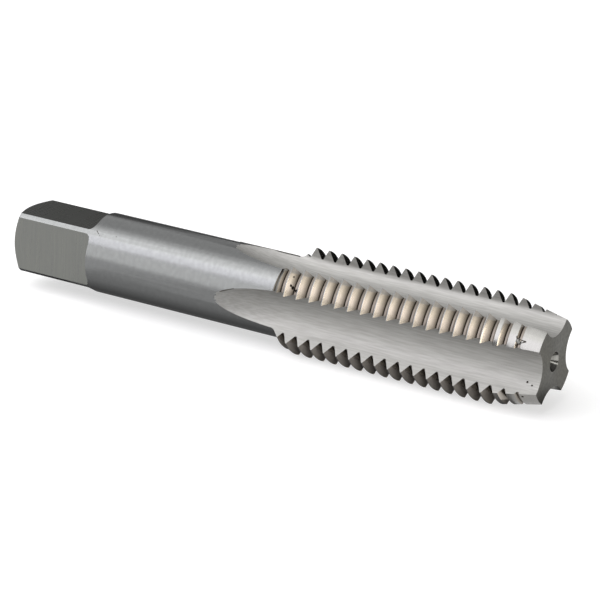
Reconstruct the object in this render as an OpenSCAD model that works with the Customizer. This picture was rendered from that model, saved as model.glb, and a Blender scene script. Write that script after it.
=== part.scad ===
// Ground-thread hand tap, 3/4-10 UNC right-hand plug tap with four straight flutes.
// It is one bar of high-speed steel, turned, milled and ground.
// The axis of the tool is X. The origin is the centre of the square end's face, the
// point is at +X, and the flats of the square face +Y, -Y, +Z and -Z.
// Angles round the axis are counted from +Y towards +Z.

/* [Overall] */
// Length over all, from the square end to the point
overall_length = 107.95; // [100:0.05:125]

/* [Shank] */
// Diameter of the shank
shank_d = 14.986; // [13:0.01:15.2]
// Distance across the flats of the driving square
square_across = 11.23; // [10.6:0.01:12]
// Length of the driving square, with the curve at its shoulder
square_length = 17.2; // [14:0.02:22]
// Radius that the square's cutter leaves at the shoulder
square_fillet = 1.2; // [0.5:0.1:2.5]
// Diameter of the square end's face inside its chamfer
end_face_d = 11.1; // [9:0.1:13]
// Length of the chamfer round the square end
end_chamfer = 1; // [0.4:0.1:2]

/* [Thread] */
// Diameter over the thread crests, which on a tap is a little over the screw's
thread_d = 19.25; // [18.6:0.01:20.4]
// Distance from one thread to the next
pitch = 2.54; // [2.4:0.01:2.7]
// Length of the threaded part, with the chamfer at the point
thread_length = 51.2; // [44:0.1:56]
// Width of the flat on top of each thread
crest_flat = 0.14; // [0.1:0.01:0.4]
// Width of the flat between two threads
root_flat = 0.34; // [0.2:0.01:0.4]
// Angle between the two sides of a thread
thread_angle = 60; // [58:1:66]
// Angle of the cone that ends the thread at the shank
thread_end_angle = 45; // [35:1:60]
// Radius of the curve between the shank and that cone
thread_end_fillet = 1.5; // [0.5:0.1:2.5]
// How far along the thread the first groove begins, as a share of the pitch
thread_start = 0.12; // [0:0.01:0.99]

/* [Point] */
// Length of the taper ground on the thread at the point
taper_length = 9.8; // [6:0.1:14]
// Diameter at the point's end face
point_d = 15.1; // [14:0.1:15.4]

/* [Flutes] */
// Number of flutes
flute_count = 4; // [3:1:4]
// Radius of the flute's rounded bottom
flute_radius = 4.8; // [4.4:0.1:5]
// Distance of the flute's bottom from the axis
flute_floor = 4.65; // [4.2:0.05:5]
// Distance of the cutting face from the middle of the flute
cutting_face = 3.95; // [3.5:0.05:4.3]
// Radius of the curve between the flute's bottom and the cutting face
cutting_fillet = 1.4; // [0.5:0.1:2]
// Angle at which the flute opens on the side away from the cutting face
heel_angle = 41; // [36:1:50]
// Angle at the point that the flutes are turned away from the flats of the square
flute_turn = 1.1; // [-5:0.1:5]
// Angle by which the flutes lean off the axis, away from the cutting faces at the shank
flute_lean = 0.36; // [0:0.02:0.6]
// Radius of the grinding wheel, which leaves the run-out on the shank
wheel_radius = 70; // [50:1:90]
// Distance from the point to where the flutes run out on the shank
flute_length = 63.1; // [58:0.02:68]
// How much the wheel, where it rises, sinks below the straight flute and stays off its wall
wheel_offset = 0.03; // [0.02:0.01:0.1]

/* [Centre holes] */
// Diameter of the countersink's mouth in the point
point_centre_d = 3.5; // [2.6:0.1:4.5]
// Diameter of the countersink's mouth in the square end
square_centre_d = 3.6; // [2.6:0.1:4.5]
// Diameter of the drilled pilot in both ends
pilot_d = 1.6; // [1.2:0.1:2]
// Depth of the drilled pilot in both ends
pilot_depth = 5; // [4:0.1:8]
// Included angle of the countersinks
centre_angle = 60; // [55:1:70]

/* [Hidden] */
$fn = 96;

// Space that every cut takes beyond the surface, so that it opens cleanly
over = 1;
// How far a curve reaches past the two faces that it joins, so that they cross cleanly
curve_overlap = 0.01;
// Angle by which each groove stays inside the middles of the two flutes beside its land
groove_margin = 12;
// Depth below which a groove has run out on the taper and isn't cut
least_groove = 0.1;

shank_r = shank_d / 2;
crest_r = thread_d / 2;
point_r = point_d / 2;
flank_slope = tan(thread_angle / 2);
thread_depth = (pitch - crest_flat - root_flat) / 2 / flank_slope;
root_r = crest_r - thread_depth;
thread_end_length = (crest_r - shank_r) / tan(thread_end_angle);
thread_start_x = overall_length - thread_length;
taper_start_x = overall_length - taper_length;
land_step = 360 / flute_count;
// Slope of the thread across a land, taken half-way down its sides
lead_angle = atan(pitch / (PI * (crest_r + root_r)));
// Where the flutes reach their full depth: the wheel sinks in over this length
wheel_floor = flute_floor - wheel_offset;
sink_angle = acos(1 - (shank_r - wheel_floor) / wheel_radius);
full_depth_x = overall_length - flute_length + wheel_radius * sin(sink_angle);
// Angles on the wheel's rim between which it cuts, past the shank and into the flute
rise_angle = sink_angle + 8;
overlap_angle = 3;

// Radius of the threaded part at a place along the axis, before its grooves are cut
function blank_r(x) =
    x > taper_start_x
        ? crest_r - (crest_r - point_r) * (x - taper_start_x) / taper_length
        : x < thread_start_x
            ? shank_r
            : min(crest_r, shank_r + (x - thread_start_x) * tan(thread_end_angle));

// Turns a shape that stands along Z so that it lies along the tool's axis
module along_axis() {
    rotate([90, 0, 90]) children();
}

// Half the section of the turned bar: end chamfer, shank, thread and the taper at the point
module blank_outline() {
    polygon([
        [0, 0],
        [end_face_d / 2, 0],
        [shank_r, end_chamfer],
        [shank_r, thread_start_x],
        [crest_r, thread_start_x + thread_end_length],
        [crest_r, taper_start_x],
        [point_r, overall_length],
        [0, overall_length]
    ]);
}

// The curve from the shank into the cone that ends the thread, filled in beside the two
module thread_end_curve() {
    to_faces = thread_end_fillet - curve_overlap;
    run = to_faces * tan(thread_end_angle / 2);
    difference() {
        polygon([
            [shank_r - over, thread_start_x - run],
            [shank_r, thread_start_x - run],
            [shank_r + run * sin(thread_end_angle), thread_start_x + run * cos(thread_end_angle)],
            [shank_r - over, thread_start_x + run * cos(thread_end_angle)]
        ]);
        translate([shank_r + to_faces, thread_start_x - run])
            circle(r = thread_end_fillet);
    }
}

module blank() {
    along_axis()
        rotate_extrude() {
            blank_outline();
            thread_end_curve();
        }
}

// Corner between the flute's bottom and its cutting face, outside the curve that joins them
module cutting_corner(floor_at, wall_at) {
    to_faces = cutting_fillet - curve_overlap;
    centre_y = to_faces - wall_at;
    from_middle = flute_radius - to_faces;
    inward = sqrt(from_middle * from_middle - centre_y * centre_y);
    stretch = flute_radius / from_middle;
    middle_x = floor_at + flute_radius;
    difference() {
        polygon([
            [middle_x - inward, centre_y],
            [middle_x - inward * stretch, centre_y * stretch],
            [middle_x - inward * stretch - over, centre_y * stretch],
            [middle_x - inward * stretch - over, -wall_at - over],
            [middle_x - inward, -wall_at - over]
        ]);
        translate([middle_x - inward, centre_y])
            circle(r = cutting_fillet);
    }
}

// Outline of the flute across the tool: a straight cutting face, a round bottom, and a
// straight slope on the other side that touches the round and opens outwards
module flute_outline(floor_at, wall_at) {
    reach = 2 * flute_radius;
    difference() {
        intersection() {
            translate([floor_at + flute_radius, 0])
                union() {
                    circle(r = flute_radius);
                    rotate([0, 0, heel_angle])
                        square([reach, flute_radius - curve_overlap]);
                }
            translate([floor_at - over, -wall_at])
                square([reach + 2 * over, wall_at + reach]);
        }
        cutting_corner(floor_at, wall_at);
    }
}

// The same outline as the wheel carries it, with its depth counted back from the rim
module wheel_outline() {
    mirror([1, 0])
        translate([-wheel_radius - wheel_floor, 0])
            flute_outline(wheel_floor, cutting_face - wheel_offset);
}

// One flute: straight along the thread, then rising out of the shank on the wheel's arc
module flute() {
    union() {
        translate([full_depth_x, 0, 0])
            along_axis()
                linear_extrude(height = overall_length - full_depth_x + over)
                    flute_outline(flute_floor, cutting_face);
        translate([full_depth_x, wheel_floor + wheel_radius, 0])
            rotate([0, 0, -90 - rise_angle])
                rotate_extrude(angle = rise_angle + overlap_angle, $fn = 360)
                    wheel_outline();
    }
}

module flutes() {
    for (i = [0 : flute_count - 1])
        rotate([i * land_step + flute_turn, 0, 0])
            translate([overall_length, 0, 0])
                rotate([0, flute_lean, 0])
                    translate([-overall_length, 0, 0])
                        flute();
}

// Section of the groove between two threads, cut from outside the crests
module groove_outline() {
    outer_r = crest_r + over;
    outer_half = root_flat / 2 + (outer_r - root_r) * flank_slope;
    polygon([
        [root_r, -root_flat / 2],
        [outer_r, -outer_half],
        [outer_r, outer_half],
        [root_r, root_flat / 2]
    ]);
}

// One groove across one land, on the slope of a right-hand thread
module groove() {
    arc = land_step - 2 * groove_margin;
    rotate([lead_angle, 0, 0])
        rotate([0, 0, -arc / 2])
            rotate_extrude(angle = arc)
                groove_outline();
}

// All grooves of all lands: each land is shifted along by its share of the pitch
module grooves() {
    for (i = [0 : flute_count - 1]) {
        turn = (i + 0.5) * land_step;
        first_x = overall_length + pitch * (thread_start + turn / 360);
        for (x = [first_x : -pitch : thread_start_x])
            if (x < overall_length && blank_r(x - root_flat) > root_r + least_groove)
                translate([x, 0, 0])
                    rotate([turn, 0, 0])
                        along_axis()
                            groove();
    }
}

// One flat of the square, facing +Y, with the rounded shoulder that its cutter leaves
module flat_cut() {
    flat_y = square_across / 2;
    reach = shank_r + over;
    translate([0, 0, -reach])
        linear_extrude(height = 2 * reach)
            difference() {
                translate([-over, flat_y])
                    square([square_length + over, reach]);
                translate([square_length - square_fillet, flat_y])
                    difference() {
                        square([square_fillet + over, square_fillet]);
                        translate([0, square_fillet])
                            circle(r = square_fillet);
                    }
            }
}

module square_flats() {
    for (i = [0 : 3])
        rotate([i * 90, 0, 0])
            flat_cut();
}

// Centre hole: countersink and pilot, with its mouth at the origin and its depth along Z
module centre_hole(mouth_d) {
    cone_depth = (mouth_d - pilot_d) / 2 / tan(centre_angle / 2);
    rotate_extrude()
        polygon([
            [0, -over],
            [mouth_d / 2 + over * tan(centre_angle / 2), -over],
            [pilot_d / 2, cone_depth],
            [pilot_d / 2, pilot_depth],
            [0, pilot_depth + pilot_d / 4]
        ]);
}

module centre_holes() {
    along_axis()
        centre_hole(square_centre_d);
    translate([overall_length, 0, 0])
        mirror([1, 0, 0])
            along_axis()
                centre_hole(point_centre_d);
}

module tap() {
    color("#85857f")
        difference() {
            blank();
            square_flats();
            centre_holes();
            flutes();
            grooves();
        }
}

tap();
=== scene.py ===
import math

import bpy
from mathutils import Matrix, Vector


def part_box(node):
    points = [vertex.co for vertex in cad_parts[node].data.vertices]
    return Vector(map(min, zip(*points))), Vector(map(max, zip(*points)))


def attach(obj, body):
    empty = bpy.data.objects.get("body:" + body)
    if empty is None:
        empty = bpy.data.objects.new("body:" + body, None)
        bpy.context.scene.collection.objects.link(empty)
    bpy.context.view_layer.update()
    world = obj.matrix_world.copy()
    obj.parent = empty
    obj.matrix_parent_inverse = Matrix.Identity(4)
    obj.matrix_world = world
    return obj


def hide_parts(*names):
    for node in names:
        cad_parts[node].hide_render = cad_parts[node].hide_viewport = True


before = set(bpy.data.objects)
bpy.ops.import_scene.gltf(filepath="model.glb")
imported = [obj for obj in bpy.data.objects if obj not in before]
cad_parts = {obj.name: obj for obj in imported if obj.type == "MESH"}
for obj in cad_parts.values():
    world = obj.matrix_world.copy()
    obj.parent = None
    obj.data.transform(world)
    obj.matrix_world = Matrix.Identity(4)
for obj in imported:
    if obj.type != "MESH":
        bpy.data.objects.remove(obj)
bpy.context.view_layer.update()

# %% [markdown]
# ## A thread tap
# A tap is the tool that cuts a screw thread inside a drilled hole. This one is turned from one bar
# of high-speed steel and then ground all over, so every surface carries the fine lines of the
# wheel that made it: round the shank, along the flutes, across the flats of the square. The CAD
# model already holds the true shape. This script adds what the CAD model has none of: the camera,
# the light, a finish for each ground surface, and the small chips that the tool has collected.

MM = 0.001                      # the scene is in metres, and the sizes below are in millimetres

SHANK_R = 7.493
SQUARE_LENGTH = 17.2            # of the driving square, measured from its end
THREAD_START = 56.75            # where the shank ends and the thread begins
TAPER_START = 98.15             # where the taper at the point begins
ROOT_R = 7.841                  # bottom of the thread's grooves
CENTRE_HOLE_R = 2.0             # the centre holes at both ends lie inside this radius

# %% [markdown]
# ## The camera
# The photograph was matched first: about seventy points of the thread, the shank and the point
# were measured in it, and a camera was fitted to them. It stands near the tool's point, well above
# it, and is turned a few degrees, so that the tool falls away to the right. A long lens keeps the
# far end nearly as large as the near one. A camera looks along its own -Z, so the three columns of
# its rotation are its right, its up and its backward direction.

# %% Camera
AZIMUTH = 29.318                # degrees to the right of the front
ELEVATION = 19.84               # degrees above the horizon
ROLL = 2.98                     # degrees
CAMERA_PLACE = Vector((270.54, -378.0, 156.33))
FOCAL_LENGTH = 156              # mm, on a sensor 36 mm wide


def camera_axes(azimuth, elevation, roll):
    azimuth, elevation, roll = (math.radians(angle) for angle in (azimuth, elevation, roll))
    back = Vector((
        math.sin(azimuth) * math.cos(elevation),
        -math.cos(azimuth) * math.cos(elevation),
        math.sin(elevation),
    ))
    level_right = Vector((0, 0, 1)).cross(back).normalized()
    level_up = back.cross(level_right)
    right = math.cos(roll) * level_right + math.sin(roll) * level_up
    up = -math.sin(roll) * level_right + math.cos(roll) * level_up
    return Matrix((right, up, back)).transposed()


bpy.ops.object.camera_add()
camera = bpy.context.object
camera.name = "photo_camera"
camera.data.lens = FOCAL_LENGTH
camera.data.sensor_width = 36
camera.data.clip_start = 0.01
camera.matrix_world = (
    Matrix.Translation(CAMERA_PLACE * MM)
    @ camera_axes(AZIMUTH, ELEVATION, ROLL).to_4x4()
)
bpy.context.scene.camera = camera
bpy.context.scene.view_settings.view_transform = "Standard"
print("camera stands", round(CAMERA_PLACE.length), "mm from the square end")

# %% [markdown]
# ## Colours and nodes
# A colour is written the way a picture shows it, as a hex value, and one function turns it into
# the linear numbers that the renderer counts with. A second function adds a node with its settings
# and its links, so that a material reads as a list of steps.

# %% Colour and node helpers


def linear(hex_colour):
    parts = [int(hex_colour[i:i + 2], 16) / 255 for i in (1, 3, 5)]
    curve = [c / 12.92 if c <= 0.04045 else ((c + 0.055) / 1.055) ** 2.4 for c in parts]
    return (*curve, 1.0)


def add_node(tree, kind, settings=None, **inputs):
    """Adds a node. Settings are its options; inputs are values or (node, output) links.

    An input that is named by its number is written with a line in front, such as _0.
    """
    node = tree.nodes.new(kind)
    for name, value in (settings or {}).items():
        setattr(node, name, value)
    for name, value in inputs.items():
        numbered = name[0] == "_" and name[1:].isdigit()
        socket = node.inputs[int(name[1:]) if numbered else name.replace("_", " ")]
        if isinstance(value, tuple) and isinstance(value[0], bpy.types.Node):
            tree.links.new(value[0].outputs[value[1]], socket)
        else:
            socket.default_value = value
    return node


def new_material(name):
    material = bpy.data.materials.new(name)
    material.use_nodes = True
    material.node_tree.nodes.clear()
    return material, material.node_tree


print("middle grey #808080 is", round(linear("#808080")[0], 3), "to the renderer")

# %% [markdown]
# ## Lines round a turned tool
# A grinding line runs round the shank, so its pattern has to bend with the surface. This helper
# rolls the surface out flat: the angle round the axis, times the radius, is the distance along the
# circumference. Another way would be a UV map, but the surface has cuts all over, and a formula
# needs no seams.

# %% A surface rolled out flat


def rolled_out(tree, place):
    """The place on the surface with X along the tool and Y along the circumference."""
    split = add_node(tree, "ShaderNodeSeparateXYZ", None, Vector=place)
    angle = add_node(tree, "ShaderNodeMath", {"operation": "ARCTAN2"},
                     _0=(split, "Z"), _1=(split, "Y"))
    arc = add_node(tree, "ShaderNodeMath", {"operation": "MULTIPLY"},
                   _0=(angle, 0), _1=SHANK_R * MM)
    return add_node(tree, "ShaderNodeCombineXYZ", None, X=(split, "X"), Y=(arc, 0)), 0


print("the shank's circumference is", round(2 * math.pi * SHANK_R, 1), "mm")

# %% [markdown]
# ## Painted shade in the thread
# Little light reaches the bottom of the thread, so shade is painted into the steel's colour: it
# deepens from the crests towards the axis, and in the corner on either side of each groove's
# bottom it is darkest of all. The distance from the axis is the length of Y and Z, with X left
# out.

# %% Painted shade that deepens towards the axis
GROOVE_CORNER_SHADE = "#4a443c"             # painted shade in the corners of the grooves
CORNER = (0.10, 0.28)           # height over the groove's bottom, in mm, over which it fades
SIDES = (0.1, 1.2)              # and the height over which the deeper colour of the sides fades


def painted_groove_shade(tree, place, metal, deep):
    """Fades the metal's colour to a deeper one towards the bottom of the thread, as painted shade.
    """
    split = add_node(tree, "ShaderNodeSeparateXYZ", None, Vector=place)
    section = add_node(tree, "ShaderNodeCombineXYZ", None, Y=(split, "Y"), Z=(split, "Z"))
    radius = add_node(tree, "ShaderNodeVectorMath", {"operation": "LENGTH"}, _0=(section, 0))
    for (low, high), colour in ((SIDES, deep), (CORNER, GROOVE_CORNER_SHADE)):
        height = add_node(tree, "ShaderNodeMapRange", None, Value=(radius, "Value"),
                          From_Min=(ROOT_R + low) * MM, From_Max=(ROOT_R + high) * MM)
        metal = add_node(tree, "ShaderNodeMix", {"data_type": "RGBA"}, _0=(height, 0),
                         _6=linear(colour), _7=metal), 2
    return metal


# The painted shade in the grooves fades out this far above their bottom.
print("oil fades out", CORNER[1], "mm above the bottom of the", ROOT_R, "mm groove")

# %% [markdown]
# ## Ground steel
# Ground steel is a mirror broken up by parallel scratches. Along the scratches it still mirrors
# the lamp, across them it smears it, so the two things that matter are the direction of the lines
# and how wide the smear is. Every finish below is the same recipe with another direction and
# colour:
# - a noise stretched along the lines gives the scratches, as relief and as changes of roughness;
# - a second, slower noise gives the long pale and dark streaks;
# - the anisotropic shader smears the light across the lines, and far less along them.
#
# Real grinding lines are a few hundredths of a millimetre apart, which is less than a dot of the
# picture, so they are drawn several times coarser here and the shader's smear does the rest.

# %% The recipe for ground steel
ROUND_THE_AXIS = 0.25           # a quarter turn: round lines smear the light along the axis
ALONG_THE_AXIS = 0.0            # lines along the tool smear the light across it
STREAK_STRETCH = 0.4            # a streak is this much less stretched than a line


def stretched_noise(tree, surface, stretch, width_mm, detail):
    """A noise as wide as width_mm, and stretched as many times along X, Y and Z as given."""
    place = add_node(tree, "ShaderNodeMapping", None, Vector=surface,
                     Scale=[1 / (width_mm * MM * times) for times in stretch])
    noise = add_node(tree, "ShaderNodeTexNoise", None, Vector=(place, 0), Scale=1.0, Detail=detail)
    return noise, 0


def ground_steel(name, pale, dark, roughness, lay, line_mm, streak_mm, relief_um,
                 smear=0.6, turn=ROUND_THE_AXIS, wrapped=True, deep=None):
    """lay is how many times longer than wide a grinding line is along X, Y and Z."""
    material, tree = new_material(name)
    place = (add_node(tree, "ShaderNodeTexCoord"), "Object")
    surface = rolled_out(tree, place) if wrapped else place
    lines = stretched_noise(tree, surface, lay, line_mm, detail=2)
    streak_lay = [1 + (times - 1) * STREAK_STRETCH for times in lay]
    streaks = stretched_noise(tree, surface, streak_lay, streak_mm, detail=3)

    tone = add_node(tree, "ShaderNodeMapRange", None, Value=streaks, From_Min=0.35, From_Max=0.65)
    metal = add_node(tree, "ShaderNodeMix", {"data_type": "RGBA"}, _0=(tone, 0),
                     _6=linear(dark), _7=linear(pale)), 2
    if deep:
        metal = painted_groove_shade(tree, place, metal, deep)
    rough = add_node(tree, "ShaderNodeMapRange", None, Value=lines, From_Min=0.3, From_Max=0.7,
                     To_Min=roughness - 0.01, To_Max=roughness + 0.01)
    relief = add_node(tree, "ShaderNodeBump", None, Strength=1.0,
                      Distance=relief_um * 0.001 * MM, Height=lines)
    across = add_node(tree, "ShaderNodeTangent", {"direction_type": "RADIAL", "axis": "X"})
    shader = add_node(tree, "ShaderNodeBsdfPrincipled", None, Base_Color=metal, Metallic=1.0,
                      Roughness=(rough, 0), Normal=(relief, 0), Anisotropic=smear,
                      Anisotropic_Rotation=turn, Tangent=(across, 0))
    add_node(tree, "ShaderNodeOutputMaterial", None, Surface=(shader, 0))
    print(name, "has lines", line_mm, "mm wide and", max(lay) * line_mm, "mm long")
    return material


FINISHES = {}

# %% [markdown]
# ## The shank
# The shank is ground between two centres: the tool turns, the wheel turns, and what is left is
# very even, with a fine grain rather than lines. It is nearly a mirror, so its base colour is the
# grey of the steel and its bright bands come from the lamps alone. The flat crests of the thread
# are ground the same way and share the finish.

# %% Cylindrically ground steel
FINISHES["shank"] = ground_steel("cylindrically_ground_shank", "#7a7b7b", "#757676", 0.25,
                                 lay=(1, 2.5, 1), line_mm=0.18, streak_mm=0.7, relief_um=0.55,
                                 smear=0.45)

# %% [markdown]
# ## The driving square
# The four flats are milled across the tool, and nobody polishes them, because only the jaws of a
# wrench ever touch them. The cutter's lines run up and down the side flats and across the top one.

# %% Milled steel
FINISHES["square"] = ground_steel("milled_square_flats", "#767773", "#737471", 0.28,
                                  lay=(1, 40, 40), line_mm=0.30, streak_mm=0.5, relief_um=0.25,
                                  wrapped=False)

# %% [markdown]
# ## The flutes
# A wheel dressed to the flute's round shape runs along the tool and leaves long fine streaks. The
# surface is duller than the shank, so it shows no lamp at all, only a soft change from light to
# dark that follows its hollow.

# %% Form-ground steel
FINISHES["flute"] = ground_steel("form_ground_flutes", "#9b9a97", "#8f8e8b", 0.50,
                                 lay=(34, 1, 1), line_mm=0.20, streak_mm=0.28, relief_um=0.8,
                                 smear=0.5, turn=ALONG_THE_AXIS, wrapped=False)

# %% [markdown]
# ## The thread
# The two sides of each thread are ground by a ribbed wheel and are the finest surface of the tool:
# they have to leave a smooth thread in the work. Their warm colour is a trace of cutting oil.
# Towards the bottom of each groove the colour deepens as painted shade, where the neighbouring
# threads keep the light out. A thread is also lit by its neighbour: light falls on the side of one
# thread and is thrown onto the side of the next, so a pale steel is needed here for two
# reflections to stay bright.

# %% Thread flanks and roots
# deep is the painted shade that the flanks fade to towards the bottom of the grooves.
FINISHES["thread"] = ground_steel("ground_thread_flanks", "#c3bdb4", "#b9b3aa", 0.18,
                                  lay=(1, 60, 1), line_mm=0.20, streak_mm=0.5, relief_um=0.05,
                                  smear=0.5, deep="#7c7770")
# The roots are painted darker as shade: little light reaches the bottom of the grooves.
FINISHES["root"] = ground_steel("painted_shade_thread_roots", "#78716a", "#66605a", 0.35,
                                lay=(1, 60, 1), line_mm=0.20, streak_mm=0.5, relief_um=0.15)

# %% [markdown]
# ## The taper at the point
# The first threads are ground away to a slight cone, so that the tap finds its way into the hole
# and cuts a little deeper with every tooth. This is the last surface to be ground and the
# brightest.

# %% Relief-ground steel
FINISHES["taper"] = ground_steel("relief_ground_taper", "#8a8986", "#868582", 0.24,
                                 lay=(1, 60, 1), line_mm=0.20, streak_mm=0.5, relief_um=0.15)

# %% [markdown]
# ## The ends and the centre holes
# The two end faces were cut off in a lathe and are left rough. Their dark colour is partly painted
# shade: it darkens what the point's face mirrors of the paper behind the tool. The small cones in
# them are drilled, and their walls are bright, because the machine's hard centres ran in them.

# %% Faced and drilled steel
# The ends' dark base is partly painted shade.
FINISHES["ends"] = ground_steel("faced_steel_ends", "#5b5a54", "#484741", 0.42,
                                lay=(1, 1, 1), line_mm=0.25, streak_mm=0.5, relief_um=1.5,
                                wrapped=False)
FINISHES["hole"] = ground_steel("drilled_centre_holes", "#a3a29d", "#83827d", 0.20,
                                lay=(1, 60, 1), line_mm=0.30, streak_mm=0.6, relief_um=0.3)
SLOTS = list(FINISHES)

# %% [markdown]
# ## One skin from the CAD node
# The CAD node is a heap of loose triangles and must stay as it is, so the work is done on a copy.
# The copy's stored normals are cleared first, because they only fit the loose triangles; then the
# corners that lie on each other are merged, and Blender can work out normals of its own.

# %% A copy of the CAD node
bpy.ops.object.select_all(action="DESELECT")
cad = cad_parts["tap"]
cad.select_set(True)
bpy.context.view_layer.objects.active = cad
bpy.ops.object.duplicate()
tool = bpy.context.object
tool.name = "dressed_tap"
tool.data.name = "dressed_tap"
tool.data.materials.clear()
for slot in SLOTS:
    tool.data.materials.append(FINISHES[slot])

bpy.ops.mesh.customdata_custom_splitnormals_clear()
bpy.ops.object.mode_set(mode="EDIT")
bpy.ops.mesh.select_all(action="SELECT")
bpy.ops.mesh.remove_doubles(threshold=0.001 * MM)
bpy.ops.mesh.select_all(action="DESELECT")
bpy.ops.object.mode_set(mode="OBJECT")
print("corners after merging:", len(tool.data.vertices), "faces:", len(tool.data.polygons))

# %% [markdown]
# ## Which face has which finish
# Each face is asked where it lies and which way it looks, as a machinist would. A face that looks
# straight along the axis is an end. One inside the shank's radius, near the square end, is the
# square. A face that looks straight out from the axis was turned: it is a root at the depth of the
# grooves, and taper, crest or shank further out. What leans along the axis inside the thread is a
# side of it, and all that is left was made by the flute's wheel.

# %% Finishes by place and direction
ALONG = 0.99                    # how far along the axis an end face looks, where 1 is all the way
LEANING = 0.3                   # how far along the axis the side of a thread looks
OUTWARD = 0.94                  # how far out from the axis a turned face looks
CONE_LEAN = 0.15                # how far towards the point the taper looks
TAPER_R = 7.2                   # the taper's faces all lie outside this radius


def finish_of(centre, normal):
    """Which finish a face has, from its middle in millimetres and the way it looks."""
    radius = math.hypot(centre.y, centre.z)
    outward = (normal.y * centre.y + normal.z * centre.z) / max(radius, 0.001)
    turned = outward > OUTWARD and abs(normal.x) < LEANING
    if radius < CENTRE_HOLE_R:
        return "hole" if abs(normal.x) < ALONG else "ends"
    if abs(normal.x) > ALONG:
        return "ends"
    if centre.x < SQUARE_LENGTH + 0.1 and radius < SHANK_R - 0.05:
        return "square"
    if centre.x < 1.0:
        return "ends"
    if centre.x > TAPER_START and turned and radius > TAPER_R and normal.x > CONE_LEAN:
        return "taper"
    if turned and centre.x > THREAD_START + 1 and abs(radius - ROOT_R) < 0.1:
        return "root"
    if turned and radius > SHANK_R - 0.05:
        return "shank"
    if abs(normal.x) > LEANING:
        return "thread"
    return "flute"


counts = {slot: 0 for slot in SLOTS}
for polygon in tool.data.polygons:
    slot = finish_of(polygon.center / MM, polygon.normal)
    polygon.material_index = SLOTS.index(slot)
    counts[slot] += 1
print("faces by finish:", counts)

# %% [markdown]
# ## Smooth and sharp
# Smooth shading belongs on the round surfaces and not across a sharp edge. The angle between two
# neighbouring faces tells them apart: on a round surface it is a few degrees, and at an edge of
# this tool it is never less than thirty.

# %% Smooth shading
SHARP_FROM = 25                 # degrees between two faces
bpy.ops.object.shade_smooth_by_angle(angle=math.radians(SHARP_FROM))
print("edges of", SHARP_FROM, "degrees and more stay sharp")

# %% [markdown]
# ## Chips and pits
# A tap is hard and brittle, so a knock doesn't dent it but breaks a small chip out. The photograph
# shows a V on the last ground facet, a chipped patch in the first groove, pits near the point, and
# a few scratches at the shoulder of the square. Small rods and balls are laid half into the
# surface and taken away with a boolean. The new faces keep the cutter's own dark finish, which
# stands for the oil that has dried in them.

# %% Tools for chips
DRIED_OIL = ground_steel("dried_oil_in_chips", "#57524b", "#35322e", 0.55,
                         lay=(1, 1, 1), line_mm=0.20, streak_mm=0.4, relief_um=0.8, wrapped=False)
ROD_SIDES = 7                   # a chip is rough, so a coarse rod looks truer than a round one


def rod(start, end, radius):
    start, end = Vector(start), Vector(end)
    turn = (end - start).to_track_quat("Z", "Y").to_euler()
    bpy.ops.mesh.primitive_cylinder_add(
        vertices=ROD_SIDES, radius=radius * MM, depth=(end - start).length * MM,
        location=(start + end) / 2 * MM, rotation=turn)
    return bpy.context.object


def ball(middle, radius, rounds=1):
    bpy.ops.mesh.primitive_ico_sphere_add(subdivisions=rounds, radius=radius * MM,
                                          location=Vector(middle) * MM)
    return bpy.context.object


def combine(piece, operation, finish):
    """Adds a small piece to the tool, or cuts it away, and leaves its finish on the new faces."""
    piece.data.materials.append(finish)
    bpy.ops.object.select_all(action="DESELECT")
    tool.select_set(True)
    bpy.context.view_layer.objects.active = tool
    step = tool.modifiers.new("step", "BOOLEAN")
    step.object = piece
    step.operation = operation
    step.solver = "EXACT"
    step.material_mode = "TRANSFER"
    bpy.ops.object.modifier_apply(modifier=step.name)
    bpy.data.objects.remove(piece)


# %% [markdown]
# The blow that struck the V also pushed some metal into the groove beside it. That lump is added
# first, and then the two arms of the V are cut through it.

# %% The V on the last facet
lump = ball((103.98, -6.60, 4.80), 0.58, rounds=2)
lump.scale = (0.9, 0.6, 1.0)
combine(lump, "UNION", FINISHES["taper"])
V_ARMS = [                      # from, to and radius in mm
    ((103.7, -6.80, 5.30), (105.35, -6.44, 4.92), 0.13),
    ((105.35, -6.44, 4.92), (103.9, -7.10, 4.35), 0.09),
]
for start, end, radius in V_ARMS:
    combine(rod(start, end, radius), "DIFFERENCE", DRIED_OIL)
print("faces after the V:", len(tool.data.polygons))

# %% [markdown]
# The rest of the damage is a list of places, read off the photograph by following its lines of
# sight to the CAD model: a ball for each pit and a thin rod for each scratch.

# %% Pits and scratches
PITS = [                        # middle and radius in mm
    ((103.64, -6.48, 5.42), 0.19), ((103.80, -7.10, 4.22), 0.17),       # ends of the V
    ((60.62, -6.90, 4.66), 0.38), ((60.35, -7.14, 5.10), 0.28),         # first groove
    ((61.08, -6.72, 4.18), 0.32), ((61.00, -6.75, 4.95), 0.20), ((60.22, -6.05, 6.35), 0.20),
    ((105.68, -5.26, -2.54), 0.22), ((106.65, -5.47, -2.87), 0.20),     # flute, near the point
    ((105.52, -6.44, -4.85), 0.26),                                     # lower facet
    ((18.91, -5.45, 5.13), 0.10), ((22.28, -5.08, 5.50), 0.12),         # shank
]
SCRATCHES = [                   # from, to and radius in mm
    ((15.6, -3.6, 5.63), (17.2, -4.35, 5.64), 0.05),
    ((17.9, -4.9, 5.66), (18.6, -5.3, 5.28), 0.06),
    ((99.4, -4.66, -0.80), (102.6, -4.66, -0.77), 0.03),
]
for middle, radius in PITS:
    combine(ball(middle, radius), "DIFFERENCE", DRIED_OIL)
for start, end, radius in SCRATCHES:
    combine(rod(start, end, radius), "DIFFERENCE", DRIED_OIL)
print("faces after", len(PITS), "pits and", len(SCRATCHES), "scratches:", len(tool.data.polygons))

# %% [markdown]
# ## The burr
# Where a wheel leaves the metal it pushes up a thin edge, the burr. Here it stands along the far
# edge of the top flute and at the tip of the front one, dark against the ground surface. It
# follows the edge as a chain of thin rods that are joined to the tool.

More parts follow.
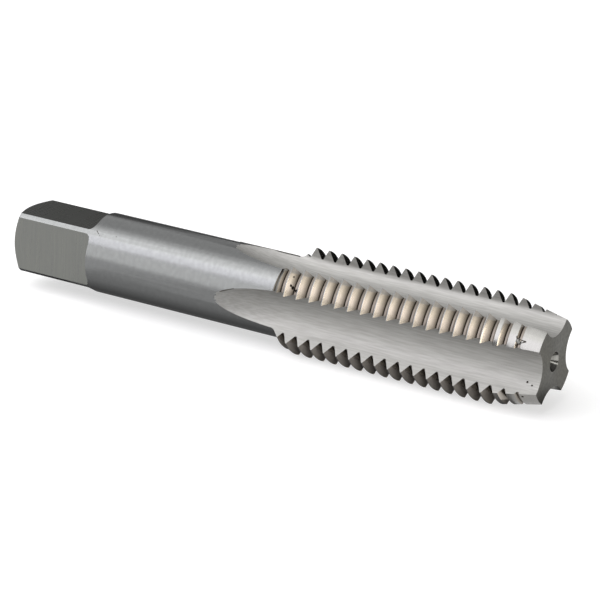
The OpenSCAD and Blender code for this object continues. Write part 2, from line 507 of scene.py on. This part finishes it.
# %% Burrs beside the flutes
TOP_BURR = [(43.9, 2.56, 7.02), (47.6, 2.60, 7.01), (51.4, 2.62, 7.01), (52.2, 2.68, 6.97),
            (53.7, 2.85, 6.90), (54.9, 2.99, 6.84), (56.1, 3.10, 6.78)]
FRONT_BURR = [(46.1, -7.40, 0.91), (47.4, -7.33, 1.46), (48.8, -7.18, 2.02)]
for chain, radius in ((TOP_BURR, 0.11), (FRONT_BURR, 0.07)):
    for start, end in zip(chain, chain[1:]):
        combine(rod(start, end, radius), "UNION", DRIED_OIL)
print("faces after the burrs:", len(tool.data.polygons))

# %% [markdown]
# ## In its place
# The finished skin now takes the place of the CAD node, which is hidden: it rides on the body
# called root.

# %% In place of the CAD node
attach(tool, "root")
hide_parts("tap")
print(tool.name, "stands at", list(tool.location), "with scale", list(tool.scale))

# %% [markdown]
# ## The floor
# The photograph was taken on white. The floor is a sheet of white paper that ends a little way
# behind the tool. Part of its white is its own: it glows for the camera and for the steel that
# mirrors it, so the paper stays white under a plain light and the tool's shadow on it stays soft.
# The room beyond the paper is dark, and that matters: steel has no colour of its own to show, and
# the dark upper edge of the shank is the mirror image of that dark room.

# %% White paper
GLOW = 0.60                     # the paper's own share of its white, where 1 is all of it
SHEET = 1.4                     # side of the sheet, in metres
floor_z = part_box("tap")[0].z
bpy.ops.object.select_all(action="DESELECT")
bpy.ops.mesh.primitive_plane_add(size=SHEET, location=(0.05, -0.39, floor_z))
floor = bpy.context.object
floor.name = "floor"

material, tree = new_material("white_paper_sheet")
ray = add_node(tree, "ShaderNodeLightPath")
seen = add_node(tree, "ShaderNodeMath", {"operation": "ADD"},
                _0=(ray, "Is Camera Ray"), _1=(ray, "Is Glossy Ray"))
seen = add_node(tree, "ShaderNodeMath", {"operation": "ADD", "use_clamp": True},
                _0=(seen, 0), _1=(ray, "Is Transmission Ray"))
glow = add_node(tree, "ShaderNodeMath", {"operation": "MULTIPLY"}, _0=(seen, 0), _1=GLOW)
white = add_node(tree, "ShaderNodeEmission", None, Color=(1, 1, 1, 1), Strength=(glow, 0))
paper = add_node(tree, "ShaderNodeBsdfDiffuse", None, Color=linear("#b8b8b8"))
both = add_node(tree, "ShaderNodeAddShader", None, _0=(paper, 0), _1=(white, 0))
add_node(tree, "ShaderNodeOutputMaterial", None, Surface=(both, 0))
floor.data.materials.append(material)
print("the floor lies at", round(floor_z / MM, 2), "mm")

# %% [markdown]
# ## The light
# A shiny thing is lit by what it mirrors, so the lamps are large soft panels that run along the
# tool, and each one is a band on the shank: the bright band is the key panel in front and above,
# with two weaker ones beyond it for its soft edge, and the grey bands beside it are the front fill
# and the ceiling. A panel is set by the height angle at which it hangs, seen from the tool's
# square end, and by its level: 1 is as bright as white paper.

# %% Soft panels


def panel(name, middle, width, height, level, colour="#ffffff"):
    """A flat lamp as bright as level times white paper, with its sizes in mm."""
    bpy.ops.object.light_add(type="AREA", location=Vector(middle) * MM)
    lamp = bpy.context.object
    lamp.name = name
    lamp.data.shape = "RECTANGLE"
    lamp.data.size = width * MM
    lamp.data.size_y = height * MM
    lamp.data.energy = level * math.pi * lamp.data.size * lamp.data.size_y
    lamp.data.color = linear(colour)[:3]
    return lamp


def soft_panel(name, height_angle, half_width, distance, from_x, to_x, level, colour="#ffffff"):
    """A lamp along X that covers height_angle +- half_width, counted from the front upwards."""
    angle = math.radians(height_angle)
    middle = ((from_x + to_x) / 2, -distance * math.cos(angle), distance * math.sin(angle))
    height = 2 * distance * math.tan(math.radians(half_width))
    lamp = panel(name, middle, to_x - from_x, height, level, colour)
    lamp.rotation_euler = (math.radians(90) - angle, 0, 0)
    print(name, "covers", height_angle - half_width, "to", height_angle + half_width, "degrees")


soft_panel("front_fill", 17.5, 17.5, 1400, -1400, -200, 2.15)
soft_panel("key", 48, 12, 1200, -1200, 400, 3.5, "#fbfaff")
soft_panel("key_rim", 66, 6, 1200, -1200, 400, 2.9)
soft_panel("key_edge", 78, 6, 1200, -1200, 400, 2.3)
soft_panel("overhead", 89, 5, 1200, -1200, 300, 1.35)
soft_panel("ceiling", 121, 27, 1200, -1300, 100, 0.83)

# %% [markdown]
# ## Bright cards
# The panels leave four places dark: the sides of the threads that face the point, the upper ends
# of those sides, the wall of the centre hole, and the small cone where the thread meets the shank.
# Each one mirrors its own corner of the room, and a bright card stands there. The last lamp hangs
# straight above the far end of the paper, which the panels hardly reach.

# %% Cards that look at the tool


def card(name, place, aim, width, height, level, colour="#ffffff"):
    """A bright card that stands at place and looks at aim."""
    lamp = panel(name, place, width, height, level, colour)
    lamp.rotation_euler = (Vector(place) - Vector(aim)).to_track_quat("Z", "Y").to_euler()
    print(name, "stands", round((Vector(place) - Vector(aim)).length), "mm from what it lights")
    return lamp


card("cream_card", (570, -40, 75), (90, 0, 0), 330, 180, 4.3, "#fff4e4")
card("far_right_card", (500, 240, 160), (90, 0, 5), 300, 260, 0.55)
card("centre_hole_card", (430, -396, 311), (108, 0, 0), 150, 150, 3.0)
card("far_left_card", (-850, -130, 470), (56, 0, 5), 700, 700, 2.2)
paper_light = card("paper_light", (0, 430, 700), (0, 430.1, 0), 300, 300, 1.0)
paper_light.data.spread = math.radians(60)

# %% [markdown]
# ## Dark cards
# These dark cards are painted reflections: they show only in the mirror of the steel, where they
# give bright metal its dark edges. They are hidden from the camera, throw no shadow and take no
# light from the paper. One stands behind the threads, a grey one behind the shank, and the others
# lie on the paper under the tool as painted shade, for the tool's shadow that its underside
# mirrors.

# %% Dark cards: painted reflections and painted shade
FLOOR = floor_z / MM
LOW = FLOOR + 0.3               # height of a strip that lies on the paper
CARD_TOP = FLOOR + 16           # top of a card that stands on it
BEHIND = (60, 60)               # where the standing cards stand, along Y


def reflection_only_card(name, x, y, z):
    """A thin card between the given limits in mm, seen only in reflections."""
    middle = Vector((sum(x), sum(y), sum(z))) / 2
    standing = z[1] > z[0]
    bpy.ops.mesh.primitive_plane_add(size=1, location=middle * MM,
                                     rotation=(math.radians(90) if standing else 0, 0, 0))
    piece = bpy.context.object
    piece.name = name
    piece.scale = ((x[1] - x[0]) * MM, (z[1] - z[0] if standing else y[1] - y[0]) * MM, 1)
    piece.visible_camera = False
    piece.visible_shadow = False
    piece.visible_diffuse = False
    print(name, "is", x[1] - x[0], "mm long")
    return piece


DARK_REFLECTION_CARDS = [                  # name, limits along X, Y and Z in mm, colour
    ("black_card", (35, 145), BEHIND, (FLOOR, CARD_TOP), "#101010"),
    ("grey_card", (-85, 35), BEHIND, (FLOOR, CARD_TOP), "#7c7c7c"),
    # Painted shade: these strips stand for the tool's shadow on the paper under it, seen only in
    # the steel.
    ("strip_under_square", (-13, 10), (-5, 12), (LOW, LOW), "#606060"),
    ("strip_under_threads", (57, 103), (-9, 14), (LOW, LOW), "#a8a8a8"),
    ("strip_under_point", (106, 113), (-1, 8), (LOW, LOW), "#484848"),
]
for name, x, y, z, colour in DARK_REFLECTION_CARDS:
    material, tree = new_material("painted_dark_reflection_of_" + name)
    reflected_dark = add_node(tree, "ShaderNodeBsdfDiffuse", None, Color=linear(colour))
    add_node(tree, "ShaderNodeOutputMaterial", None, Surface=(reflected_dark, 0))
    reflection_only_card(name, x, y, z).data.materials.append(material)

# %% [markdown]
# ## The strip under the shank
# Under the shank a plain strip would show as a hard line in the steel, so this one carries a
# wedge of painted shadow, and it glows though it is no lamp: as white as the paper at its front
# edge, and nearly black from the middle of the tool backwards, where the tool's shadow lies under
# it. A colour ramp along the strip's own Y, which runs from -0.5 to 0.5, holds the shades.

# %% A glowing grey wedge of painted shadow
WEDGE = [(-26, 1.0), (-17, 0.84), (-9.5, 0.66), (-6.5, 0.38), (-4, 0.16), (0, 0.11)]  # y, level
FRONT, BACK = -26, 34           # the strip's edges in mm

material, tree = new_material("painted_shadow_wedge")
place = add_node(tree, "ShaderNodeTexCoord")
split = add_node(tree, "ShaderNodeSeparateXYZ", None, Vector=(place, "Object"))
share = add_node(tree, "ShaderNodeMath", {"operation": "ADD"}, _0=(split, "Y"), _1=0.5)
wedge = add_node(tree, "ShaderNodeValToRGB", None, Fac=(share, 0))
while len(wedge.color_ramp.elements) < len(WEDGE):
    wedge.color_ramp.elements.new(0.5)
for stop, (y, level) in zip(wedge.color_ramp.elements, WEDGE):
    stop.position = (y - FRONT) / (BACK - FRONT)
    stop.color = (level, level, level, 1)
shades = add_node(tree, "ShaderNodeEmission", None, Color=(wedge, 0), Strength=1.0)
add_node(tree, "ShaderNodeOutputMaterial", None, Surface=(shades, 0))
wedge_strip = reflection_only_card("strip_under_shank", (10, 57), (FRONT, BACK), (LOW, LOW))
wedge_strip.data.materials.append(material)

# %% [markdown]
# ## The room
# Beyond the lamps the room is nearly dark. A little even light keeps the back of the tool from
# going black.

# %% Dark room
ROOM_LIGHT = 0.11               # where 1 is as bright as white paper
world = bpy.data.worlds.new("dark_room")
bpy.context.scene.world = world
world.use_nodes = True
world.node_tree.nodes.clear()
room = add_node(world.node_tree, "ShaderNodeBackground", None,
                Color=(1, 1, 1, 1), Strength=ROOM_LIGHT)
add_node(world.node_tree, "ShaderNodeOutputWorld", None, Surface=(room, 0))
